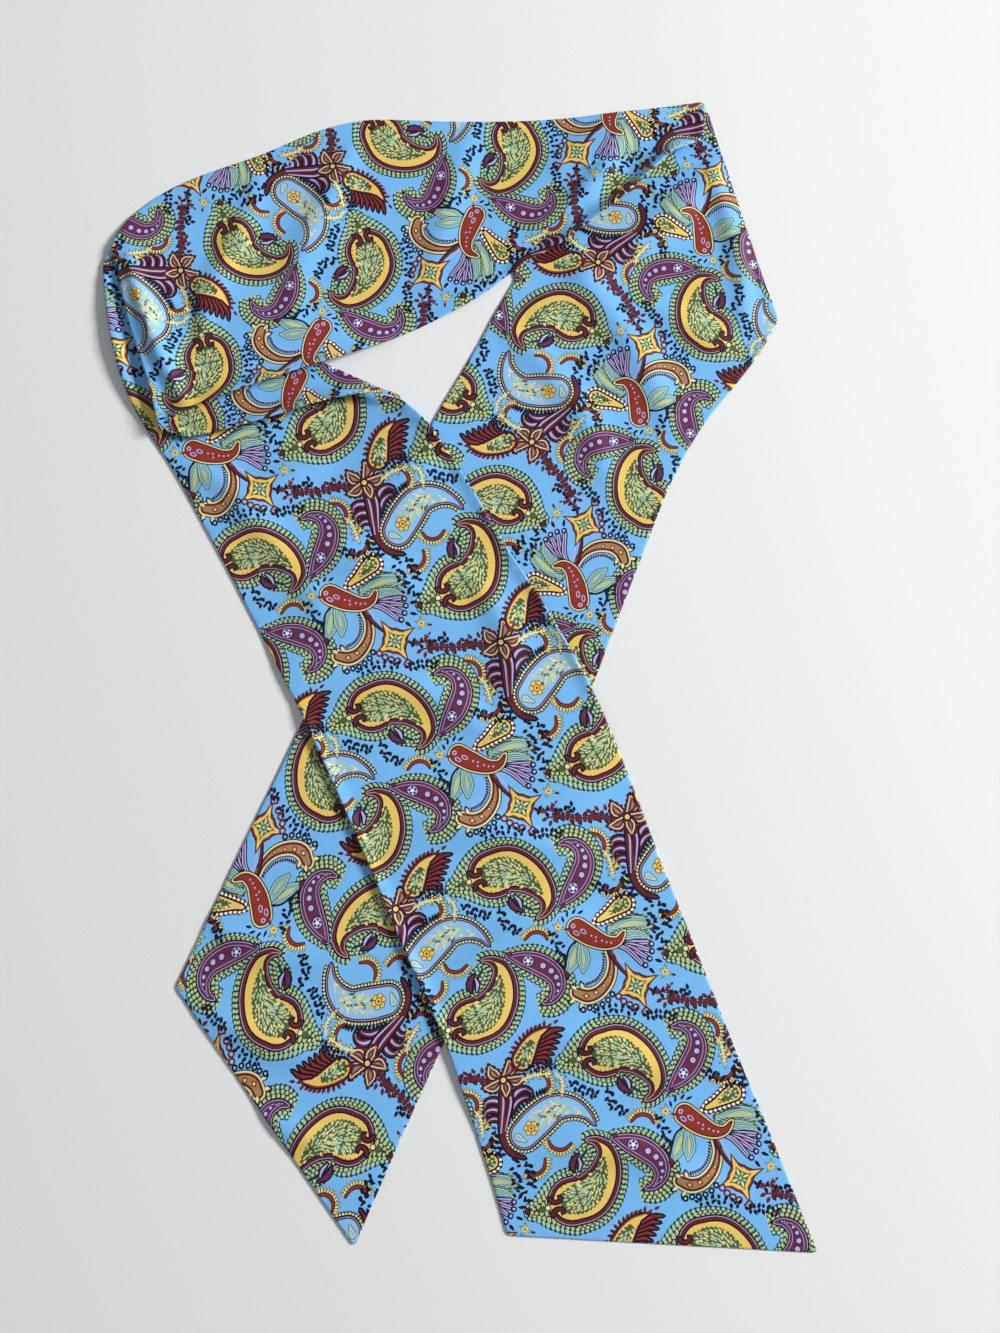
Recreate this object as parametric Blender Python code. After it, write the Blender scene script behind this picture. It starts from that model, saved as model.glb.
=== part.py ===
"""A printed silk neck scarf, laid flat as a loop with its two tails crossed.

The scarf is one long flat tube of silk, 150 mm wide, with slanted ends. It turns twice, with a
pleat at each turn, and its tails cross below. Each stretch that shows is one closed wall, and
each wall lies on the table or on the stretches below it.

Lengths are in metres and Z is up. X runs to the right and Y up the scarf, away from its ends.
The origin is the middle of the scarf's outline, on the table.
"""

import math
from collections import namedtuple

import bmesh
import bpy

WALL = 0.0015  # the two pressed plies of the tube, with the air between them
LAYER_GAP = 0.0003  # clear space between one stretch and the next
OVERHANG = 0.017  # how far past a lower stretch's edge the cloth stays at full height
SLOPE_RUN = 0.022  # length of the slope from there down to the table
TABLE_CELL = 0.030  # facet size of the stretch that lies flat on the table
DRAPED_CELL = 0.0125  # facet size of the stretches that drape over others
PLEAT_CELL = 0.010  # facet size of the small pleat

SILK_BLUE = (0.19, 0.43, 0.84, 1.0)
SILK_ROUGHNESS = 0.45

# One crosswise section of a stretch: where it meets the stretch's left edge and its right edge.
Section = namedtuple("Section", "left_x left_y right_x right_y")

# A soft fold raised in a stretch: its middle, the way that it runs in degrees, how far it
# reaches to each side of the middle along that way and across it, and its height.
Fold = namedtuple("Fold", "x y runs_deg reach_along reach_across height")

Stretch = namedtuple("Stretch", "name sections folds lies_on cell")

# From under the neck stretch at the right turn, down and left to the slanted end.
UNDER_TAIL_SECTIONS = (
    Section(0.031, 0.235, 0.145, 0.323),
    Section(0.035, 0.226, 0.151, 0.320),
    Section(0.038, 0.219, 0.159, 0.292),
    Section(0.032, 0.209, 0.169, 0.260),
    Section(0.024, 0.195, 0.179, 0.227),
    Section(0.015, 0.177, 0.190, 0.195),
    Section(0.003, 0.157, 0.181, 0.178),
    Section(-0.011, 0.133, 0.167, 0.159),
    Section(-0.020, 0.112, 0.145, 0.133),
    Section(-0.031, 0.084, 0.127, 0.101),
    Section(-0.045, 0.051, 0.118, 0.078),
    Section(-0.055, 0.027, 0.109, 0.055),
    Section(-0.067, -0.003, 0.091, 0.009),
    Section(-0.081, -0.035, 0.071, -0.045),
    Section(-0.094, -0.064, 0.046, -0.103),
    Section(-0.108, -0.093, 0.022, -0.158),
    Section(-0.122, -0.123, -0.001, -0.212),
    Section(-0.136, -0.154, -0.026, -0.267),
    Section(-0.150, -0.184, -0.050, -0.322),
)

# From under the left turn, down and right across the under tail to the slanted end.
OVER_TAIL_SECTIONS = (
    Section(-0.201, 0.227, -0.086, 0.164),
    Section(-0.198, 0.201, -0.066, 0.157),
    Section(-0.191, 0.166, -0.045, 0.152),
    Section(-0.180, 0.139, -0.028, 0.148),
    Section(-0.169, 0.123, -0.012, 0.133),
    Section(-0.157, 0.106, -0.003, 0.120),
    Section(-0.145, 0.084, 0.011, 0.100),
    Section(-0.125, 0.048, 0.027, 0.070),
    Section(-0.104, 0.008, 0.049, 0.037),
    Section(-0.081, -0.035, 0.071, 0.000),
    Section(-0.062, -0.076, 0.085, -0.027),
    Section(-0.043, -0.118, 0.102, -0.070),
    Section(-0.024, -0.163, 0.119, -0.116),
    Section(-0.001, -0.212, 0.140, -0.170),
    Section(0.014, -0.256, 0.160, -0.222),
    Section(0.025, -0.289, 0.182, -0.276),
    Section(0.033, -0.316, 0.201, -0.325),
)

# The pleat's lower fold is its left edge here, and its upper side is its right edge.
TURN_FOLD_SECTIONS = (
    Section(-0.162, 0.128, -0.166, 0.136),
    Section(-0.148, 0.124, -0.152, 0.156),
    Section(-0.126, 0.129, -0.129, 0.165),
    Section(-0.105, 0.134, -0.108, 0.171),
    Section(-0.080, 0.142, -0.086, 0.176),
    Section(-0.065, 0.146, -0.071, 0.168),
    Section(-0.053, 0.148, -0.060, 0.163),
    Section(-0.045, 0.149, -0.052, 0.159),
    Section(-0.035, 0.148, -0.041, 0.153),
    Section(-0.026, 0.145, -0.030, 0.149),
)

# From the right turn to the left crease. The left edge is the outer one, at the top, and the
# right edge is the pleat at the right turn and then the neck's inner edge.
NECK_SECTIONS = (
    Section(0.149, 0.325, 0.147, 0.299),
    Section(0.133, 0.323, 0.129, 0.291),
    Section(0.111, 0.320, 0.107, 0.269),
    Section(0.088, 0.318, 0.086, 0.253),
    Section(0.058, 0.315, 0.062, 0.235),
    Section(0.032, 0.314, 0.039, 0.225),
    Section(0.000, 0.314, 0.017, 0.207),
    Section(-0.027, 0.315, -0.018, 0.189),
    Section(-0.050, 0.316, -0.051, 0.175),
    Section(-0.078, 0.309, -0.084, 0.163),
    Section(-0.109, 0.294, -0.107, 0.155),
    Section(-0.133, 0.286, -0.130, 0.147),
    Section(-0.157, 0.277, -0.146, 0.141),
    Section(-0.172, 0.268, -0.156, 0.135),
    Section(-0.186, 0.256, -0.164, 0.126),
    Section(-0.192, 0.247, -0.172, 0.158),
    Section(-0.195, 0.241, -0.185, 0.194),
    Section(-0.196, 0.238, -0.192, 0.225),
)

OVER_TAIL_FOLDS = (
    Fold(-0.199, 0.189, -80, 0.050, 0.010, 0.0030),  # the roll outside the left crease
    Fold(-0.026, 0.137, 20, 0.030, 0.012, 0.0025),  # the hump under the pleat's tip
)

TURN_FOLD_FOLDS = (
    Fold(-0.070, 0.146, 17, 0.060, 0.008, 0.0015),  # the pleat's lifted lower fold
)

NECK_FOLDS = (
    Fold(0.104, 0.276, 34, 0.050, 0.011, 0.0040),  # the rounded pleat at the right turn
    Fold(0.078, 0.292, 50, 0.035, 0.012, 0.0015),  # a softer ridge beside it
    Fold(-0.115, 0.158, 20, 0.060, 0.010, 0.0020),  # the lifted inner edge at the left turn
    Fold(-0.171, 0.181, -75, 0.045, 0.010, 0.0025),  # the cloth that rolls into the left crease
)

UNDER_TAIL = Stretch("under_tail", UNDER_TAIL_SECTIONS, (), (), TABLE_CELL)
OVER_TAIL = Stretch(
    "over_tail", OVER_TAIL_SECTIONS, OVER_TAIL_FOLDS, (UNDER_TAIL,), DRAPED_CELL
)
TURN_FOLD = Stretch(
    "turn_fold", TURN_FOLD_SECTIONS, TURN_FOLD_FOLDS, (UNDER_TAIL, OVER_TAIL), PLEAT_CELL
)
NECK_STRETCH = Stretch(
    "neck_stretch", NECK_SECTIONS, NECK_FOLDS, (UNDER_TAIL, OVER_TAIL, TURN_FOLD), DRAPED_CELL
)
STRETCHES = (UNDER_TAIL, OVER_TAIL, TURN_FOLD, NECK_STRETCH)


def clear_scene():
    """Removes every object, so that the scarf is all that the file holds."""
    for thing in list(bpy.data.objects):
        bpy.data.objects.remove(thing, do_unlink=True)


def silk():
    """The pressed silk's base material, in the print's ground colour."""
    material = bpy.data.materials.new("silk")
    material.use_nodes = True
    shader = material.node_tree.nodes["Principled BSDF"]
    shader.inputs["Base Color"].default_value = SILK_BLUE
    shader.inputs["Roughness"].default_value = SILK_ROUGHNESS
    shader.inputs["Metallic"].default_value = 0.0
    material.diffuse_color = SILK_BLUE
    return material


def outline(stretch):
    """The stretch's edge in plan: down its left side and back up its right side."""
    left = [(section.left_x, section.left_y) for section in stretch.sections]
    right = [(section.right_x, section.right_y) for section in stretch.sections]
    return left + right[::-1]


def inside(x, y, corners):
    """Whether a point lies inside a closed outline."""
    crossings = 0
    for (ax, ay), (bx, by) in zip(corners, corners[1:] + corners[:1]):
        if (ay > y) != (by > y) and x < ax + (y - ay) * (bx - ax) / (by - ay):
            crossings += 1
    return crossings % 2 == 1


def distance_outside(x, y, corners):
    """How far a point lies outside a closed outline, and 0 inside it."""
    if inside(x, y, corners):
        return 0.0
    nearest = math.inf
    for (ax, ay), (bx, by) in zip(corners, corners[1:] + corners[:1]):
        run_x, run_y = bx - ax, by - ay
        along = ((x - ax) * run_x + (y - ay) * run_y) / (run_x**2 + run_y**2)
        along = min(max(along, 0.0), 1.0)
        nearest = min(nearest, math.hypot(x - ax - along * run_x, y - ay - along * run_y))
    return nearest


def smooth_step(share):
    """0 to 1 with level ends."""
    share = min(max(share, 0.0), 1.0)
    return share * share * (3 - 2 * share)


def fold_height(fold, x, y):
    """The height that a soft fold adds at a point."""
    turn = math.radians(fold.runs_deg)
    along = (x - fold.x) * math.cos(turn) + (y - fold.y) * math.sin(turn)
    across = (y - fold.y) * math.cos(turn) - (x - fold.x) * math.sin(turn)
    fade = (along / fold.reach_along) ** 2 + (across / fold.reach_across) ** 2
    return fold.height * math.exp(-fade)


def underside(stretch, x, y):
    """The height of the stretch's underside: the table, or what it lies on, plus its folds."""
    height = 0.0
    for lower in stretch.lies_on:
        seat = underside(lower, x, y) + WALL + LAYER_GAP
        past_edge = distance_outside(x, y, outline(lower)) - OVERHANG
        height = max(height, seat * smooth_step(1 - past_edge / SLOPE_RUN))
    return height + sum(fold_height(fold, x, y) for fold in stretch.folds)


def between(first, second, share):
    """A section part of the way from one section to the next."""
    return Section(*(a + (b - a) * share for a, b in zip(first, second)))


def even_sections(stretch):
    """The table's sections with more between them, no further apart than the facet size."""
    sections = [stretch.sections[0]]
    for first, second in zip(stretch.sections, stretch.sections[1:]):
        left_step = math.dist(first[:2], second[:2])
        right_step = math.dist(first[2:], second[2:])
        steps = max(1, math.ceil(max(left_step, right_step) / stretch.cell))
        sections += [between(first, second, step / steps) for step in range(1, steps + 1)]
    return sections


def wall(stretch, material):
    """One stretch as a closed wall: an underside, a top the same way up, and a rim."""
    sections = even_sections(stretch)
    widest = max(math.dist(section[:2], section[2:]) for section in sections)
    columns = math.ceil(widest / stretch.cell)
    mesh = bmesh.new()
    low, high = [], []
    for section in sections:
        row = []
        for column in range(columns + 1):
            share = column / columns
            x = section.left_x + (section.right_x - section.left_x) * share
            y = section.left_y + (section.right_y - section.left_y) * share
            row.append((x, y, underside(stretch, x, y)))
        low.append([mesh.verts.new(point) for point in row])
        high.append([mesh.verts.new((x, y, z + WALL)) for x, y, z in row])
    for row in range(len(sections) - 1):
        for column in range(columns):
            for grid in (low, high):
                mesh.faces.new(
                    (
                        grid[row][column],
                        grid[row][column + 1],
                        grid[row + 1][column + 1],
                        grid[row + 1][column],
                    )
                )
    rim_low = rim(low)
    rim_high = rim(high)
    for here in range(len(rim_low)):
        after = (here + 1) % len(rim_low)
        mesh.faces.new((rim_low[here], rim_low[after], rim_high[after], rim_high[here]))
    bmesh.ops.triangulate(mesh, faces=mesh.faces[:])
    bmesh.ops.recalc_face_normals(mesh, faces=mesh.faces[:])
    data = bpy.data.meshes.new(stretch.name)
    mesh.to_mesh(data)
    mesh.free()
    data.materials.append(material)
    piece = bpy.data.objects.new(stretch.name, data)
    bpy.context.scene.collection.objects.link(piece)
    return piece


def rim(grid):
    """The points round a grid's edge, in order."""
    left = [row[0] for row in grid]
    right = [row[-1] for row in grid]
    return grid[0][:-1] + right[:-1] + grid[-1][:0:-1] + left[:0:-1]


def build_scarf():
    """Every stretch of the scarf, from the lowest up."""
    material = silk()
    for stretch in STRETCHES:
        wall(stretch, material)


clear_scene()
build_scarf()
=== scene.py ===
"""The laid silk scarf as it looks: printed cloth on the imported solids, plain light and a camera.

Each stretch of the scarf has a front ply and a back ply, which meet at its pressed edges. They
lie on the stretch's solid, so they take their outline and height from it. Lengths are in metres
in the frame's axes, apart from the print, which is drawn in millimetres of cloth.
"""

import math
from collections import namedtuple

import bpy
import numpy as np
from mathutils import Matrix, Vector
from mathutils.bvhtree import BVHTree
from mathutils.geometry import delaunay_2d_cdt


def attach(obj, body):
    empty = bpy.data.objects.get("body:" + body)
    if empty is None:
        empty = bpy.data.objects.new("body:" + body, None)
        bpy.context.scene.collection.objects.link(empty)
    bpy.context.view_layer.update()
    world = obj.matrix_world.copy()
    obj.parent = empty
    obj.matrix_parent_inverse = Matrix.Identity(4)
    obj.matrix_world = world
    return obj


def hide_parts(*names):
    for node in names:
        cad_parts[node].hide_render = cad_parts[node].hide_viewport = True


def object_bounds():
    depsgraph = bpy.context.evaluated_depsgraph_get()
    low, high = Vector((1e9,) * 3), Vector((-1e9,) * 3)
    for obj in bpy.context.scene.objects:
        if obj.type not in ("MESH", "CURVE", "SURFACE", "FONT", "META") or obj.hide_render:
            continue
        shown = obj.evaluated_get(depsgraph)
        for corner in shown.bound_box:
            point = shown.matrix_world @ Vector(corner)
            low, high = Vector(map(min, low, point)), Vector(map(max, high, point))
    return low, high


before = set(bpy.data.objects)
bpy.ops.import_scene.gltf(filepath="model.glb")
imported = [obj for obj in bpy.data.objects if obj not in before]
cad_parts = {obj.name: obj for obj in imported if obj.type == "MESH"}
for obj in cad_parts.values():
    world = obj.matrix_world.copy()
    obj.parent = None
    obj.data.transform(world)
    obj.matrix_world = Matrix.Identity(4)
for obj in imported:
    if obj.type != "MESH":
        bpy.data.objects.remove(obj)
cad_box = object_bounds()

# The cloth
WALL = 0.0015  # thickness of each solid
THICKNESS = 0.0012  # both plies of the shell, with the air between them
CLEARANCE = 0.0003  # between one stretch's shell and the next
TUBE_WIDTH = 0.150
ROLL = 0.0011  # how far in from its edge the cloth starts to round over
ROLL_RINGS = (0.12, 0.45, 1.0)  # shares of that at which the round part has points
EDGE_LIFT = 0.0018  # how far a stretch's edge stands off the one that it lies on
EDGE_REACH = 0.0040  # and how far in from the edge it does
CREASE_BLUR = 0.0018  # reach over which creases and laid edges are smoothed
SOFTNESS = 0.0035  # reach over which a solid's facets are smoothed
FIELD_STEP = 0.0015  # spacing of the height maps, and of an outline while it is smoothed
FIELD_MARGIN = 0.006  # how far the maps go past the scarf
EDGE_STEP = 0.002  # spacing of the points along a cloth's edge
MESH_STEP = 4.0  # spacing of a front ply's own points, in millimetres
BACK_COARSER = 1.3  # times that on a back ply
LARGEST_PIECE = 190000  # triangles, past which a ply is made in two pieces
PLAIN_SHAPE = 14.0  # smallest printed shape where no one sees the front, in square millimetres
BACK_SHAPE = 20.0  # smallest printed shape on the back, in square millimetres
BACK_POINTS = 20  # points, past which a shape on the back has only every second one
HIDDEN_MARGIN = 8  # map cells under an upper stretch's edge that still have their whole print
CUT_INSIDE = 1  # the mode of delaunay_2d_cdt that keeps what is inside its faces
CUT_MERGE = 1e-4  # how near points are made one as the print is cut, in millimetres
STRIP_UV = "strip"

# The roll outside the left turn comes out from under the neck stretch as a tip of its outline,
# which goes in before the corner nearest to the one given here.
ROLL_NODE = "over_tail"
ROLL_TIP = (-0.1958, 0.2400)
ROLL_CORNER = (-0.2008, 0.2271)

# Where the print lies on a stretch: the place of the repeat's origin, the way that the strip
# runs there, how much it turns for each metre, and the cloth's scale with its growth for each
# metre. Length along the strip is v, and u runs across it to the left of that way.
Lay = namedtuple("Lay", "x y runs_deg bend_deg scale growth")

# Creases: for each, rows of x, y, half width and height down a soft line, in millimetres. A
# trough has heights below zero.
UNDER_TAIL_CREASES = (
    ((153, 282, 5, 2.1), (162, 252, 6, 3), (169, 219, 6, 2.5), (170, 195, 5, 1.4)),
    ((64, 237, 6, 0.7), (87, 207, 9, 2.5), (110, 171, 10, 3), (125, 136, 8, 1.6)),
    ((32, 189, 5, 0.7), (57, 164, 8, 2.3), (81, 130, 9, 2.5), (92, 95, 7, 0.9)),
    ((110, 207, 6, 0.7), (139, 189, 8, 2.3), (159, 180, 6, 1.1)),
    ((-129, -150, 6, 0.7), (-103, -163, 9, 2.5), (-71, -166, 9, 2.1), (-43, -158, 6, 0.7)),
    ((-133, -196, 6, 0.7), (-104, -212, 9, 2.8), (-74, -219, 9, 2.1), (-53, -215, 6, 0.7)),
    ((-108, -250, 5, 0.7), (-80, -263, 7, 2.1), (-56, -271, 6, 0.9)),
    (
        (160, 286, 6, 1.4), (142, 273, 8, 2.8), (121, 251, 9, 3),
        (99, 234, 9, 2.6), (74, 216, 8, 1.8), (52, 203, 6, 0.8),
    ),
)
OVER_TAIL_CREASES = (
    (
        (-199, 219, 2.6, 1.6), (-196, 197, 2.8, 2.8), (-191, 176, 3.2, 3.6),
        (-183, 153, 3.2, 3), (-173, 135, 3, 1.4),
    ),
    ((-26, 146, 5, 2.6), (-17, 139, 7, 3.6), (-10, 130, 8, 3.4), (-15, 115, 9, 2.2), (-28, 95, 9, 0.8)),
    ((-68, 118, 6, 0.8), (-85, 107, 8, 1.8), (-107, 94, 8, 1.6), (-124, 78, 7, 0.6)),
    ((-148, 107, 5, 1.1), (-124, 94, 8, 2.5), (-93, 54, 9, 2.3), (-67, 20, 7, 0.7)),
    ((-113, 54, 5, 0.7), (-79, 59, 8, 2.1), (-44, 51, 9, 2.3), (-11, 32, 6, 0.9)),
    ((12, 46, 5, 0.9), (29, 20, 8, 2.8), (36, -9, 8, 2.1), (32, -34, 5, 0.7)),
    ((-67, -25, 5, 0.7), (-32, -20, 9, 2.5), (1, -28, 9, 2.3), (29, -49, 6, 0.9)),
    ((-27, -109, 6, 0.7), (4, -98, 9, 2.8), (40, -101, 9, 2.3), (71, -114, 6, 0.7)),
    ((12, -169, 6, 0.9), (40, -153, 9, 2.5), (73, -150, 9, 2.3), (106, -163, 6, 0.7)),
    ((29, -223, 6, 0.7), (62, -212, 9, 2.5), (95, -218, 9, 2.3), (128, -235, 6, 0.7)),
    ((40, -287, 5, 0.7), (78, -271, 8, 2.3), (116, -276, 8, 2.1), (154, -295, 6, 0.7)),
)
TURN_FOLD_CREASES = (
    (
        (-154, 125, 4, 1), (-126, 129, 5, 2.2), (-105, 134, 6, 3.4),
        (-80, 142, 6.5, 4.4), (-53, 148, 7, 5), (-26, 145, 6, 4.4),
    ),
)
NECK_STRETCH_CREASES = (
    (
        (146, 299, 4.5, 4), (129, 291, 5.5, 6.2), (107, 269, 6, 6.6),
        (86, 253, 5.5, 5.2), (62, 235, 5, 4), (41, 225, 4, 2.4),
    ),
    ((97, 300, 6, 1.2), (89, 282, 7, 4.2), (70, 262, 7, 3.4), (50, 248, 5, 1)),
    ((140, 312, 5, 1.4), (114, 311, 7, 2.3), (86, 303, 8, 1.8), (62, 288, 6, 0.7)),
    ((11, 306, 6, 0.9), (3, 276, 9, 2.5), (-6, 243, 9, 2.3), (-13, 213, 6, 0.7)),
    ((-58, 297, 6, 1.1), (-70, 267, 9, 3), (-87, 229, 9, 2.5), (-91, 195, 6, 0.9)),
    ((-110, 279, 6, 0.9), (-122, 247, 8, 2.8), (-137, 213, 8, 2.8), (-144, 180, 6, 1.1)),
    (
        (-185, 229, 4.5, 3.6), (-178, 207, 5, 5.8), (-169, 183, 5.5, 6.4),
        (-160, 162, 5, 5.4), (-151, 146, 4.5, 3.2),
    ),
    ((-168, 246, 6, 0.6), (-160, 222, 6, -1.2), (-152, 195, 6, -1.4), (-146, 177, 5, -0.8)),
    (
        (-156, 135, 4, 2), (-130, 147, 4.5, 3.6), (-107, 155, 5, 4.2),
        (-84, 163, 5, 3.6), (-51, 175, 4.5, 2.2), (-23, 186, 4, 0.6),
    ),
)

# A stretch's node, the nodes that it lies on, its lay and its creases
Stretch = namedtuple("Stretch", "node lies_on lay creases")
STRETCHES = (
    Stretch(
        "under_tail",
        (),
        Lay(0.1580, 0.1770, 58.3, -26.7, 0.921, -0.20),
        UNDER_TAIL_CREASES,
    ),
    Stretch(
        "over_tail",
        ("under_tail",),
        Lay(-0.0562, -0.0320, -62.0, -40.0, 0.980, -0.06),
        OVER_TAIL_CREASES,
    ),
    Stretch(
        "turn_fold",
        ("under_tail", "over_tail"),
        Lay(-0.1500, 0.1500, -150.0, -1.0, 0.95, 0.0),
        TURN_FOLD_CREASES,
    ),
    Stretch(
        "neck_stretch",
        ("under_tail", "over_tail", "turn_fold"),
        Lay(-0.0489, 0.2484, -153.5, -36.0, 0.946, 0.02),
        NECK_STRETCH_CREASES,
    ),
)

# Print colours, in display values
PRINT_COLOURS = {
    "ground": (118, 184, 238),
    "yellow": (230, 198, 100),
    "maroon": (100, 34, 40),
    "plum": (100, 44, 74),
    "brick": (142, 50, 38),
    "navy": (20, 17, 40),
    "lilac": (180, 174, 226),
    "moss": (50, 68, 50),
    "fern": (42, 58, 44),
    "sage": (182, 197, 140),
    "olive": (82, 92, 56),
    "aqua": (158, 200, 180),
    "straw": (226, 218, 154),
    "bead": (240, 236, 228),
    "tan": (160, 130, 92),
    "pale": (136, 192, 236),
    "lichen": (136, 150, 108),
}
COLOUR_NAMES = list(PRINT_COLOURS)

# On the back the lace and filigree lack their small leaves, so their dark grounds change to this.
BACK_COLOURS = {"fern": "lichen", "olive": "lichen"}

# The print's repeat, in millimetres: a step across the strip and a step down it.
REPEAT_ACROSS = (140.7, -2.8)
REPEAT_DOWN = (28.0, 112.0)
INK = 0.5  # extra width of the dark outlines
REPEATS_ACROSS = 4  # repeats tried on each side of the first one, which is enough for all
REPEATS_DOWN = 8
PRINT_TURN = math.radians(3.1)  # the repeat's own turn on the strip

# The weave, as texture scales on the strip's UV, which is in metres
TWILL_TURN = math.radians(28)
TWILL_SCALE = 330
SLUB_SCALE = 900
EASE_SCALE = 38  # of the cloth's slight unevenness

# The studio
FLOOR_REACH = 6.0
FLOOR_HEIGHT = -0.0001  # just under the cloth, so that the two never share a plane
FLOOR_COLOUR = (0.785, 0.785, 0.78, 1)
PICTURE_PIXELS = 1333  # the photograph's height
FOCAL_PIXELS = 1300  # the lens's focal length, in the photograph's pixels
SENSOR_HEIGHT = 36  # millimetres
CAMERA_TILT = math.radians(5.2)
CAMERA_DISTANCE = 0.733
CAMERA_AIM = (0.0290, -0.0063)


# Drawing tools for the print, in millimetres of cloth: x across the strip and y down it


def paint(points, colour):
    """Lays one shape of the print over those before it."""
    shapes.append((np.asarray(points, float), colour))


def spline(rows, steps):
    """Rows of numbers down a smooth curve through the given rows."""
    rows = np.asarray(rows, float)
    padded = np.vstack([2 * rows[0] - rows[1], rows, 2 * rows[-1] - rows[-2]])
    curve = []
    for index in range(len(rows) - 1):
        a, b, c, d = padded[index : index + 4]
        for t in np.arange(steps) / steps:
            level = 2 * b + (c - a) * t
            bend = (2 * a - 5 * b + 4 * c - d) * t**2 + (3 * b - a - 3 * c + d) * t**3
            curve.append(0.5 * (level + bend))
    curve.append(rows[-1])
    return np.array(curve)


def directions(line):
    """The way that a line of points runs at each of them."""
    run = np.gradient(line[:, :2], axis=0)
    return run / np.maximum(np.hypot(run[:, 0], run[:, 1])[:, None], 1e-9)


def blob(rows, grow=0.0, steps=4, cap=6):
    """A tapered shape round a spine of x, y and half width, with a round first end."""
    line = spline(rows, steps)
    run = directions(line)
    across = np.stack([-run[:, 1], run[:, 0]], axis=1)
    half = np.maximum(line[:, 2] + grow, 0.12)[:, None]
    left, right = line[:, :2] + across * half, line[:, :2] - across * half
    back = math.atan2(-run[0, 1], -run[0, 0])
    turns = back + np.linspace(-math.pi / 2, math.pi / 2, cap + 1)[1:-1]
    head = line[0, :2] + half[0] * np.stack([np.cos(turns), np.sin(turns)], axis=1)
    tip = line[-1, :2] + run[-1] * max(grow, 0.1) * 1.5
    return np.vstack([left[::-1], head, right, [tip]])


def nested(rows, layers, steps=4, cap=6):
    """The same tapered shape painted several times, each time grown by its own amount."""
    for grow, colour in layers:
        ink = INK if colour == "navy" else 0.0
        paint(blob(rows, grow + ink, steps, cap), colour)


def stroke(rows, colour, steps=4):
    """A line of changing half width."""
    line = spline(rows, steps)
    run = directions(line)
    side = np.stack([-run[:, 1], run[:, 0]], axis=1) * line[:, 2:3]
    paint(np.vstack([line[:, :2] + side, (line[:, :2] - side)[::-1]]), colour)


def placed(form, x, y, turn, size=1.0):
    """A small form's points, sized, turned and moved."""
    form = np.asarray(form, float) * size
    c, s = math.cos(turn), math.sin(turn)
    across, down = form[:, 0], form[:, 1]
    return np.stack([x + across * c - down * s, y + across * s + down * c], axis=1)


def ring(x, y, radius, colour, count=8, squash=1.0, turn=0.0):
    """A disc, or a lozenge where it has four corners."""
    angles = np.arange(count) * 2 * math.pi / count
    form = np.stack([np.cos(angles), np.sin(angles) * squash], axis=1)
    paint(placed(form, x, y, turn, radius), colour)


def discs(x, y, *layers):
    """Discs on one centre, each given by its radius, its colour and its corners."""
    for radius, colour, corners in layers:
        ring(x, y, radius, colour, corners)


# A leaf's outline from its stem, and a petal's from its middle, for a length and width of one
LEAF = ((0, 0), (0.3, 0.5), (0.65, 0.42), (1, 0), (0.65, -0.42), (0.3, -0.5))
PETAL = ((-0.45, 0.40), (0.08, 0.5), (0.40, 0.28), (0.40, -0.28), (0.08, -0.5), (-0.45, -0.40))
PETAL_WIDTHS = (0.64, 0.78)  # of the petals of a lace in turn, for a spacing of one


def leaf(x, y, turn, length, width, colour):
    """A pointed leaf from its stem end."""
    paint(placed(np.array(LEAF) * (length, width), x, y, turn), colour)


def resample(rows, spacing, shift=0.0):
    """Rows of numbers round a closed line, evenly spaced."""
    closed = np.vstack([rows, rows[:1]])
    length = np.concatenate([[0], np.cumsum(np.hypot(*np.diff(closed[:, :2], axis=0).T))])
    count = max(6, round(length[-1] / spacing))
    at = (np.arange(count) + shift) * length[-1] / count
    return np.stack([np.interp(at, length, column) for column in closed.T], axis=1)


def outward(points):
    """The way out from a closed line at each of its points."""
    run = np.roll(points, -1, axis=0) - np.roll(points, 1, axis=0)
    run /= np.maximum(np.hypot(run[:, 0], run[:, 1])[:, None], 1e-9)
    sign = 1 if shape_area(points) > 0 else -1
    return sign * np.stack([run[:, 1], -run[:, 0]], axis=1)


def shape_area(points):
    """A closed line's area, which is below zero where it runs clockwise."""
    turned = np.roll(points, -1, axis=0)
    return 0.5 * np.sum(points[:, 0] * turned[:, 1] - points[:, 1] * turned[:, 0])


def scalloped(outline, size, depth):
    """A closed line with round lobes along it."""
    fine = resample(outline, size / 4)
    fine = fine[: len(fine) // 4 * 4]
    lift = depth * np.abs(np.sin(math.pi * np.arange(len(fine)) / 4))
    return fine + outward(fine) * lift[:, None]


def lace(rows, colours, width, steps=5, cap=9):
    """Rows of petals round a shape. Each row has x, y, the shape's half width and the lace's."""
    rows = np.asarray(rows, float)
    near = blob(rows[:, :3], 0.3, steps, cap)
    far = blob(rows[:, (0, 1, 3)], 0.0, steps, cap)
    paint(scalloped(far, width, 0.7), "fern")
    reach = (far - near) / len(colours)
    for level, colour in enumerate(colours):
        middle = near + reach * (len(colours) - level - 0.5)
        edge = resample(np.hstack([middle, reach]), width, 0.5 * (level % 2))
        for count, (x, y, out_x, out_y) in enumerate(edge):
            length = math.hypot(out_x, out_y)
            form = np.array(PETAL) * (length, width * PETAL_WIDTHS[count % 2])
            paint(placed(form, x, y, math.atan2(out_y, out_x)), colour)


def stations(line, gap):
    """The places, along a line of points, of its first and of those a gap apart after it."""
    travelled = 0.0
    chosen = [0]
    for index in range(1, len(line)):
        travelled += math.dist(line[index, :2], line[index - 1, :2])
        if travelled >= gap:
            travelled -= gap
            chosen.append(index)
    return chosen


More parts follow.
